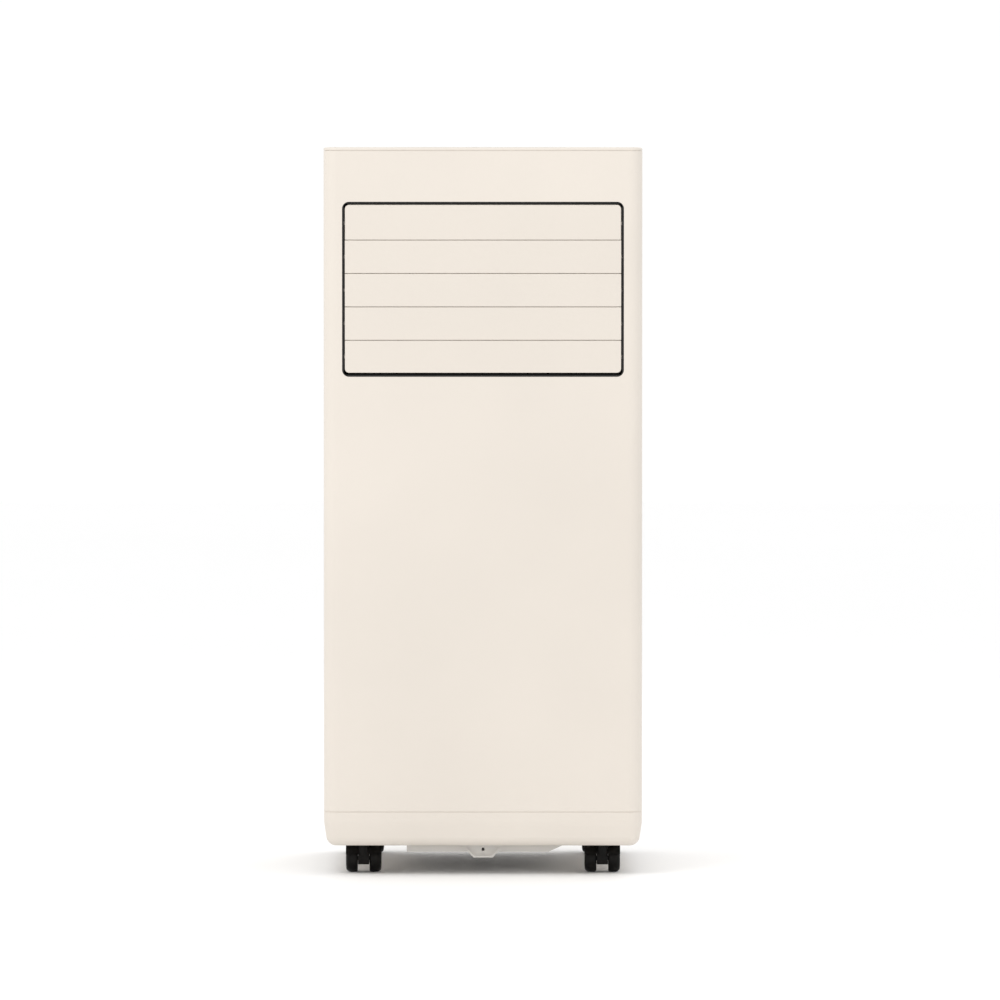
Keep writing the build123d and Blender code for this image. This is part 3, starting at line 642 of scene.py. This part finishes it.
class AIRCON_OT_seams(bpy.types.Operator):
    """Tongues that stand in the seams under the lid and above the base, a little below the surface"""
    bl_idname = "aircon.seams"
    bl_label = "Seams"

    def execute(self, context):
        seam = (place("base_pan")[1].z, place("front_panel")[0].z)
        lid = (place("front_panel")[1].z, place("top_cover")[1].z)
        self.band("base_tongue", min(seam), max(seam), 0.0005)
        self.band("lid_tongue", lid[0] - 0.0001, lid[0] + SEAM_GAP, 0.0006)
        return {"FINISHED"}

    def band(self, name, low_z, high_z, inset):
        """Rounded rectangular ring between two heights."""
        bm = bmesh.new()
        corners = bmesh.ops.create_grid(bm, x_segments=1, y_segments=1, size=1.0)["verts"]
        bmesh.ops.scale(bm, vec=(HIGH.x - inset, HIGH.y - inset, 1.0), verts=corners)
        bmesh.ops.bevel(bm, geom=corners, offset=CABINET_CORNER - inset, offset_type="OFFSET",
                        segments=sizes().corner_segments, profile=0.5, affect="VERTICES", material=-1)
        plate = max(bm.faces, key=lambda face: face.calc_area())
        bmesh.ops.inset_individual(bm, faces=[plate], thickness=TONGUE, use_even_offset=True)
        bmesh.ops.delete(bm, geom=[plate], context="FACES")
        raised = bmesh.ops.extrude_face_region(bm, geom=list(bm.faces), use_keep_orig=True)["geom"]
        top = [item for item in raised if isinstance(item, bmesh.types.BMVert)]
        bmesh.ops.translate(bm, verts=top, vec=(0, 0, high_z - low_z))
        bmesh.ops.translate(bm, verts=list(bm.verts), vec=(0, 0, low_z))
        bmesh.ops.recalc_face_normals(bm, faces=list(bm.faces))
        to_object(bm, name, cover_plastic(), "cabinet")


class AIRCON_OT_fittings(bpy.types.Operator):
    """Rear fittings: bead on each drain plug, lip on the gland, lugs in the hose socket"""
    bl_idname = "aircon.fittings"
    bl_label = "Rear fittings"

    def execute(self, context):
        soft = finish_of("moulded_rubber", rubber, (0.02, 0.02, 0.02))
        for name in ("drain_plug_upper", "drain_plug_lower"):
            self.plug_ridge(name, soft)
        self.socket_lugs()
        self.gland_ring(soft)
        return {"FINISHED"}

    def plug_ridge(self, node, soft):
        """Raised bead round the head of a plug."""
        low, high = place(node)
        centre = Vector(((low.x + high.x) / 2, high.y, (low.z + high.z) / 2))
        reach = (high.x - low.x) / 2
        profile = [(reach * 0.78, -0.0003), (reach * 0.80, 0.0), (reach * 0.84, 0.00008),
                   (reach * 0.88, 0.0), (reach * 0.90, -0.0003), (reach * 0.78, -0.0003)]
        bm = bmesh.new()
        lathe(bm, profile, centre, (0, 1, 0), 64)
        to_object(bm, f"{node}_bead", soft, node)

    def socket_lugs(self):
        """Three lugs on the inner wall of the hose socket."""
        low, high = place("exhaust_collar")
        centre = Vector(((low.x + high.x) / 2, high.y, (low.z + high.z) / 2))
        bore = frame_bore("exhaust_outlet")
        bm = bmesh.new()
        for number in range(3):
            start = math.radians(81 + 120 * number)
            out = Vector((math.cos(start), 0, math.sin(start)))
            profile = ((bore + 0.0004, -0.0040), (bore - 0.0016, -0.0044),
                       (bore - 0.0016, -0.0066), (bore + 0.0004, -0.0070))
            verts = [bm.verts.new(centre + out * radius + Vector((0, along, 0))) for radius, along in profile]
            face = bm.faces.new(verts)
            bmesh.ops.spin(bm, geom=[face, *face.edges, *verts], cent=centre, axis=(0, 1, 0),
                           dvec=(0, 0, 0), angle=-math.radians(18), steps=12, use_merge=False)
        bmesh.ops.recalc_face_normals(bm, faces=list(bm.faces))
        to_object(bm, "socket_lugs", cover_plastic(), "cabinet")

    def gland_ring(self, soft):
        low, high = place("cord_gland")
        centre = Vector(((low.x + high.x) / 2, high.y, (low.z + high.z) / 2))
        profile = [(0.0052, -0.0002), (0.0052, 0.0001), (0.0058, 0.0003), (0.0086, 0.0003),
                   (0.0092, 0.0001), (0.0092, -0.0002), (0.0052, -0.0002)]
        bm = bmesh.new()
        lathe(bm, profile, centre, (0, 1, 0), 48)
        to_object(bm, "gland_lip", soft, "cabinet")


class AIRCON_OT_wiring(bpy.types.Operator):
    """Leads from the control box and capacitor to the motors and compressor, with their ends"""
    bl_idname = "aircon.wiring"
    bl_label = "Wiring"

    def execute(self, context):
        box_low, box_high = place("control_box")
        motor_low, motor_high = place("blower_motor")
        can_low, can_high = place("run_capacitor")
        pump_low, pump_high = place("compressor")
        jackets = {"black": (0.012, 0.012, 0.012), "red": (0.42, 0.02, 0.015), "blue": (0.02, 0.06, 0.30)}
        finish = {key: finish_of(f"lead_{key}", moulded_plastic, value, 0.5, 0.4, 0.08)
                  for key, value in jackets.items()}
        step = 0.0032
        for number, key in enumerate(("black", "red", "blue")):
            shift = Vector((0, 0, (number - 1) * step))
            start = Vector((box_high.x - 0.0004, box_low.y + 0.010, box_low.z + 0.040))
            end = Vector((motor_low.x + 0.006, motor_low.y + 0.020, (motor_low.z + motor_high.z) / 2 - 0.010))
            path = [start, start + Vector((0.010, -0.003, 0)), start + Vector((0.034, -0.005, 0.006)),
                    end + Vector((-0.026, -0.012, 0)), end + Vector((-0.008, -0.002, 0)), end]
            wire(f"blower_lead_{key}", [point + shift for point in path], 0.0012, finish[key],
                 "cabinet")
            slide = Vector(((number - 1) * 0.006, 0, 0))
            top = Vector((can_high.x - 0.018, (can_low.y + can_high.y) / 2, can_high.z)) + slide
            pump = Vector(((pump_low.x + pump_high.x) / 2, (pump_low.y + pump_high.y) / 2, pump_high.z))
            path = [top - Vector((0, 0, 0.0005)), top + Vector((0, -0.002, 0.009)),
                    top + Vector((-0.004, -0.030, 0.010)), Vector((top.x, pump.y - 0.020, pump.z + 0.060)),
                    Vector((top.x + 0.030, pump.y - 0.034, pump.z + 0.026)),
                    Vector((pump.x - 0.050, pump.y - 0.030, pump.z + 0.018)),
                    pump + Vector((-0.016, -0.006, 0.012)), pump + slide - Vector((0, 0, 0.001))]
            wire(f"compressor_lead_{key}", path, 0.0013, finish[key], "cabinet")
        self.terminals(can_high, (can_low.y + can_high.y) / 2)
        pump_middle = (pump_low + pump_high) / 2
        self.terminal_cap(Vector((pump_middle.x, pump_middle.y, pump_high.z)))
        self.weld(pump_low, pump_high)
        return {"FINISHED"}

    def terminals(self, high, y):
        """Three spade tabs on the capacitor."""
        bm = bmesh.new()
        for number in (-1, 0, 1):
            x = high.x - 0.018 + number * 0.006
            slab(bm, (x - 0.0008, y - 0.0024, high.z - 0.0002),
                 (x + 0.0008, y + 0.0024, high.z + 0.007), 0.0002)
        to_object(bm, "capacitor_tabs", steel(), "cabinet")

    def terminal_cap(self, top):
        """Moulded cap over the compressor's terminals."""
        profile = [(0, 0.012), (0.010, 0.0115), (0.0155, 0.009), (0.017, 0.005),
                   (0.017, -0.0002), (0, -0.0002)]
        bm = bmesh.new()
        lathe(bm, profile, top, (0, 0, 1), 48)
        to_object(bm, "terminal_cap", black_plastic(), "cabinet")

    def weld(self, low, high):
        """Rolled weld bead round the can of the compressor."""
        centre = Vector(((low.x + high.x) / 2, (low.y + high.y) / 2, low.z + (high.z - low.z) * 0.62))
        reach = (high.x - low.x) / 2 - 0.008
        profile = [(reach - 0.0004, -0.003), (reach + 0.0009, -0.0018), (reach + 0.0013, 0),
                   (reach + 0.0009, 0.0018), (reach - 0.0004, 0.003), (reach - 0.0004, -0.003)]
        bm = bmesh.new()
        lathe(bm, profile, centre, (0, 0, 1), 96)
        enamelled = finish_of("compressor_enamel", enamel, (0.012, 0.012, 0.013))
        to_object(bm, "compressor_weld", enamelled, "cabinet")


def frame_bore(name):
    """Bore radius of a mount in metres."""
    mount = next(row for row in frame["record"]["mounts"] if row["name"] == name)
    return mount["dims"]["r_mm"] / 1000


class AIRCON_OT_casters(bpy.types.Operator):
    """Crowned twin wheels with dished hubs on one axle, for each caster"""
    bl_idname = "aircon.casters"
    bl_label = "Casters"

    def execute(self, context):
        black = finish_of("caster_nylon", nylon, tuple(colours().black))
        for end in ("front", "rear"):
            for side in ("left", "right"):
                self.wheels(f"{end}_{side}", black)
        return {"FINISHED"}

    def wheels(self, where, black):
        node = f"caster_wheels_{where}"
        low, high = place(node)
        centre = (low + high) / 2
        radius = (high.z - low.z) / 2
        half = (high.x - low.x) / 2
        inner = half * 0.33
        width = half - inner
        tread = [
            (0.0, 0.0), (radius * 0.42, 0.0), (radius * 0.46, width * 0.06), (radius * 0.86, width * 0.06),
            (radius * 0.93, width * 0.01), (radius * 0.975, width * 0.08), (radius, width * 0.30),
            (radius, width * 0.52), (radius * 0.985, width * 0.68), (radius * 0.94, width * 0.82),
            (radius * 0.86, width * 0.93), (radius * 0.74, width * 0.985), (radius * 0.60, width),
            (radius * 0.56, width * 0.90), (radius * 0.36, width * 0.90), (radius * 0.32, width * 0.97),
            (radius * 0.18, width), (0.0, width),
        ]
        bm = bmesh.new()
        for direction in (-1, 1):
            part = bmesh.new()
            lathe(part, tread, centre + Vector((direction * inner, 0, 0)), (direction, 0, 0), 64)
            joined = bpy.data.meshes.new("part")
            part.to_mesh(joined)
            part.free()
            bm.from_mesh(joined)
            bpy.data.meshes.remove(joined)
        axle = bmesh.ops.create_cone(bm, cap_ends=True, segments=24, radius1=0.002, radius2=0.002,
                                     depth=2 * inner + 0.001)["verts"]
        bmesh.ops.rotate(bm, verts=axle, cent=(0, 0, 0), matrix=Matrix.Rotation(math.pi / 2, 3, "Y"))
        bmesh.ops.translate(bm, verts=axle, vec=centre)
        to_object(bm, f"wheels_{where}", black, node, [node])


class AIRCON_OT_screens(bpy.types.Operator):
    """Framed dust filters: threads both ways in a moulded frame with ribs"""
    bl_idname = "aircon.screens"
    bl_label = "Dust filters"

    def execute(self, context):
        nylon_thread = finish_of("screen_nylon", woven_screen, (0.05, 0.05, 0.055))
        for level in ("upper", "lower"):
            self.screen(level, nylon_thread)
        return {"FINISHED"}

    def screen(self, level, nylon_thread):
        low, high = place(f"{level}_filter")
        middle = (low + high) / 2
        body, border = f"{level}_grille_unit", 0.006
        bm = bmesh.new()
        bars = [
            ((low.x, low.z), (high.x, low.z + border)), ((low.x, high.z - border), (high.x, high.z)),
            ((low.x, low.z + border), (low.x + border, high.z - border)),
            ((high.x - border, low.z + border), (high.x, high.z - border)),
        ]
        ribs = 3 if level == "upper" else 2
        for rib in range(1, ribs + 1):
            z = low.z + (high.z - low.z) * rib / (ribs + 1)
            bars.append(((low.x, z - 0.0012), (high.x, z + 0.0012)))
        for x in (-0.035, 0.035):
            bars.append(((x - 0.0012, low.z), (x + 0.0012, high.z)))
        for (x0, z0), (x1, z1) in bars:
            slab(bm, (x0, low.y, z0), (x1, high.y, z1), 0.0003)
        to_object(bm, f"{level}_filter_frame", grey_plastic(), body, [f"{level}_filter"])

        bm = bmesh.new()
        pitch, thick = sizes().thread_pitch, 0.0002
        for number in range(int((high.x - low.x - 2 * border) / pitch)):
            x = low.x + border + (number + 0.5) * pitch
            slab(bm, (x - thick, middle.y - thick, low.z + border),
                 (x + thick, middle.y + thick, high.z - border))
        for number in range(int((high.z - low.z - 2 * border) / pitch)):
            z = low.z + border + (number + 0.5) * pitch
            slab(bm, (low.x + border, middle.y, z - thick),
                 (high.x - border, middle.y + 2 * thick, z + thick))
        to_object(bm, f"{level}_filter_screen", nylon_thread, body)


class AIRCON_OT_coils(bpy.types.Operator):
    """Evaporator and condenser: pressed fins, end plates and copper return bends"""
    bl_idname = "aircon.coils"
    bl_label = "Coils"

    def execute(self, context):
        for name in ("evaporator_coil", "condenser_coil"):
            self.coil(name)
        return {"FINISHED"}

    def coil(self, name):
        low, high = place(name)
        stock = finish_of("fin_sheet", metal, (0.74, 0.75, 0.77), 0.34, (1, 1, 3), 0.1)
        pitch = sizes().fin_pitch
        bm = bmesh.new()
        count = int((high.x - low.x - 0.016) / pitch)
        start = (low.x + high.x) / 2 - (count - 1) * pitch / 2
        for number in range(count):
            x = start + number * pitch
            slab(bm, (x - 0.00012, low.y + 0.002, low.z + 0.0005),
                 (x + 0.00012, high.y - 0.002, high.z - 0.0005))
        for x0, x1 in ((low.x + 0.006, low.x + 0.0075), (high.x - 0.0075, high.x - 0.006)):
            slab(bm, (x0, low.y, low.z), (x1, high.y, high.z), 0.0003)
        to_object(bm, f"{name}_fins", stock, "cabinet", [name])

        bm = bmesh.new()
        rows = int((high.z - low.z) / 0.021)
        for number in range(rows):
            z = low.z + (number + 0.5) * (high.z - low.z) / rows
            for y in (low.y + TUBE_INSET, high.y - TUBE_INSET):
                tube = bmesh.ops.create_cone(bm, cap_ends=True, segments=12, radius1=TUBE_RADIUS,
                                             radius2=TUBE_RADIUS, depth=high.x - low.x - 0.011)["verts"]
                bmesh.ops.rotate(bm, verts=tube, cent=(0, 0, 0), matrix=Matrix.Rotation(math.pi / 2, 3, "Y"))
                bmesh.ops.translate(bm, verts=tube, vec=((low.x + high.x) / 2, y, z))
            for side, x in ((-1, low.x + 0.0058), (1, high.x - 0.0058)):
                ring = bmesh.ops.create_circle(bm, segments=12, radius=TUBE_RADIUS)["verts"]
                bmesh.ops.rotate(bm, verts=ring, cent=(0, 0, 0), matrix=Matrix.Rotation(math.pi / 2, 3, "Y"))
                bmesh.ops.translate(bm, verts=ring, vec=(x, low.y + TUBE_INSET, z))
                edges = list({edge for vert in ring for edge in vert.link_edges})
                reach = (high.y - low.y - 0.018) / 2
                pivot = (x, low.y + TUBE_INSET + reach, z)
                bmesh.ops.spin(bm, geom=ring + edges, cent=pivot, axis=(0, 0, 1), dvec=(0, 0, 0),
                               angle=side * math.pi, steps=10, use_merge=False)
        bmesh.ops.holes_fill(bm, edges=[edge for edge in bm.edges if edge.is_boundary], sides=16)
        for vert in bm.verts:
            vert.co.x = max(low.x, min(high.x, vert.co.x))
        bmesh.ops.recalc_face_normals(bm, faces=bm.faces)
        to_object(bm, f"{name}_tubes", finish_of("drawn_copper", copper), "cabinet")


class AIRCON_OT_stage(bpy.types.Operator):
    """Pale floor, soft studio lights and the camera in front of the cabinet"""
    bl_idname = "aircon.stage"
    bl_label = "Set the stage"

    def execute(self, context):
        scene = context.scene
        bm = bmesh.new()
        bmesh.ops.create_grid(bm, x_segments=1, y_segments=1, size=9.0)
        mesh = bpy.data.meshes.new("floor")
        bm.to_mesh(mesh)
        bm.free()
        floor = bpy.data.objects.new("floor", mesh)
        scene.collection.objects.link(floor)
        mesh.materials.append(floor_finish("floor_paint"))

        world = bpy.data.worlds.new("studio")
        scene.world = world
        scene.view_settings.view_transform = "Standard"
        world.use_nodes = True
        background = world.node_tree.nodes["Background"]
        background.inputs["Color"].default_value = (1.0, 1.0, 1.0, 1.0)
        background.inputs["Strength"].default_value = 1.02

        middle = Vector((0, 0, HIGH.z / 2))
        lamps = (
            ("key_softbox", (-1.0, -1.7, 1.9), 1.2, 14.0, (1.0, 0.985, 0.965)),
            ("fill_softbox", (1.9, -1.6, 0.9), 1.6, 1.0, (1.0, 1.0, 1.0)),
            ("back_softbox", (0.9, 2.0, 1.6), 1.4, 8.0, (1.0, 1.0, 1.0)),
        )
        for name, where, size, power, tint in lamps:
            light = bpy.data.lights.new(name, "AREA")
            light.shape = "SQUARE"
            light.size = size
            light.energy = power
            light.color = tint
            lamp = bpy.data.objects.new(name, light)
            lamp.location = where
            lamp.rotation_euler = (middle - Vector(where)).to_track_quat("-Z", "Y").to_euler()
            scene.collection.objects.link(lamp)

        camera = bpy.data.cameras.new("camera")
        camera.sensor_width = 36.0
        holder = bpy.data.objects.new("camera", camera)
        distance = sizes().camera_distance
        frame_span = MAX_WIDTH * FRAME_IN_WIDTHS
        front = LOW.y
        camera.lens = camera.sensor_width * distance / frame_span
        camera.shift_x = CAMERA_SHIFT[0]
        camera.shift_y = CAMERA_SHIFT[1]
        holder.location = (0, front - distance, sizes().camera_height)
        aim = Vector((0, front, middle.z)) - holder.location
        holder.rotation_euler = aim.to_track_quat("-Z", "Y").to_euler()
        scene.collection.objects.link(holder)
        scene.camera = holder
        return {"FINISHED"}


# ---------------------------------------------------------------- panel and start

OPERATORS = (
    AIRCON_OT_covers,
    AIRCON_OT_seams,
    AIRCON_OT_controls,
    AIRCON_OT_fittings,
    AIRCON_OT_wiring,
    AIRCON_OT_casters,
    AIRCON_OT_screens,
    AIRCON_OT_coils,
    AIRCON_OT_stage,
)


class AIRCON_PT_parts(bpy.types.Panel):
    """Sizes, colours and the builders of each group of parts"""
    bl_label = "Air Conditioner"
    bl_idname = "AIRCON_PT_parts"
    bl_space_type = "VIEW_3D"
    bl_region_type = "UI"
    bl_category = "Air Conditioner"

    def draw(self, context):
        for settings in (context.scene.air_con_sizes, context.scene.air_con_colours):
            box = self.layout.box()
            for name in settings.__annotations__:
                box.prop(settings, name)
        for operator in OPERATORS:
            self.layout.operator(operator.bl_idname)


CLASSES = (AirConSizes, AirConColours, *OPERATORS, AIRCON_PT_parts)


def register():
    for cls in CLASSES:
        bpy.utils.register_class(cls)
    bpy.types.Scene.air_con_sizes = PointerProperty(type=AirConSizes)
    bpy.types.Scene.air_con_colours = PointerProperty(type=AirConColours)


def unregister():
    del bpy.types.Scene.air_con_colours
    del bpy.types.Scene.air_con_sizes
    for cls in reversed(CLASSES):
        bpy.utils.unregister_class(cls)


def main():
    register()
    for operator in OPERATORS:
        group, name = operator.bl_idname.split(".")
        getattr(getattr(bpy.ops, group), name)()


if __name__ == "__main__":
    main()
